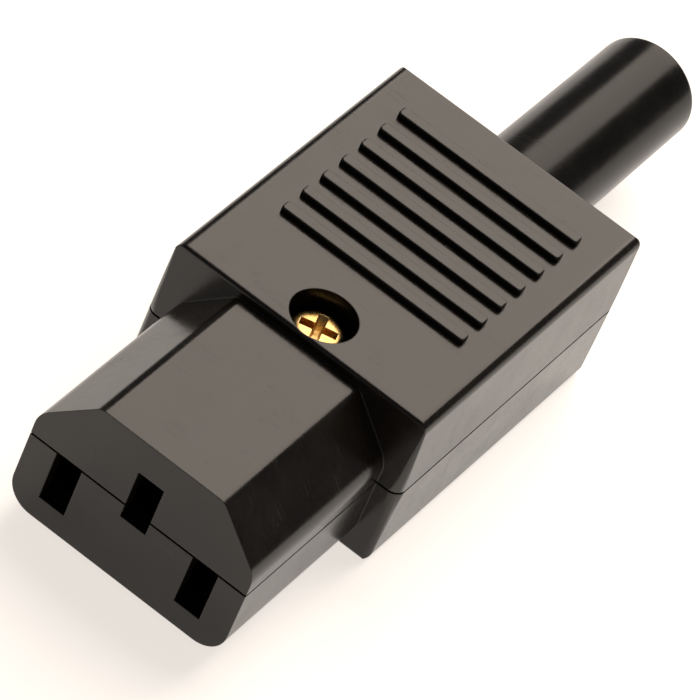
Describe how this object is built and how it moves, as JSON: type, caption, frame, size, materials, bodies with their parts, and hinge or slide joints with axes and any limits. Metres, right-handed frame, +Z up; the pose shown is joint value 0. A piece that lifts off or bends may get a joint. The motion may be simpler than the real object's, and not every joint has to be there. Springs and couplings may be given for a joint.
{
  "type": "rewireable appliance cord connector",
  "caption": "Rewireable female cord connector with a chamfered nose, pin slots, a screwed two-part ribbed housing and a rubber cord boot.",
  "frame": {"origin": "under the middle of the connector's length and width, on the plane that its flat base rests on", "axes": "+Z up, -Y out of the nose's pin slots, +Y out of the cord boot, +X to the neutral pin's side"},
  "size_m": [0.0264, 0.0784, 0.0171],
  "materials": {
    "housing_plastic": "satin moulded",
    "boot_rubber": "smooth semi-gloss",
    "clamp_plastic": "moulded",
    "screw_brass": "bright",
    "terminal_brass": "machined",
    "contact_brass": "stamped sheet",
    "clamp_screw_steel": "zinc plated"
  },
  "bodies": {
    "root": {"lower_shell": "housing_plastic", "upper_shell": "housing_plastic", "cover_screw": "screw_brass", "threaded_insert": "terminal_brass", "line_contact": "contact_brass", "neutral_contact": "contact_brass", "earth_contact": "contact_brass", "line_terminal_block": "terminal_brass", "neutral_terminal_block": "terminal_brass", "earth_terminal_block": "terminal_brass", "line_terminal_screw": "screw_brass", "neutral_terminal_screw": "screw_brass", "earth_terminal_screw": "screw_brass", "line_wire_guard": "contact_brass", "neutral_wire_guard": "contact_brass", "earth_wire_guard": "contact_brass", "cord_clamp": "clamp_plastic", "left_clamp_screw": "clamp_screw_steel", "right_clamp_screw": "clamp_screw_steel", "cord_boot": "boot_rubber"}
  },
  "joints": []
}
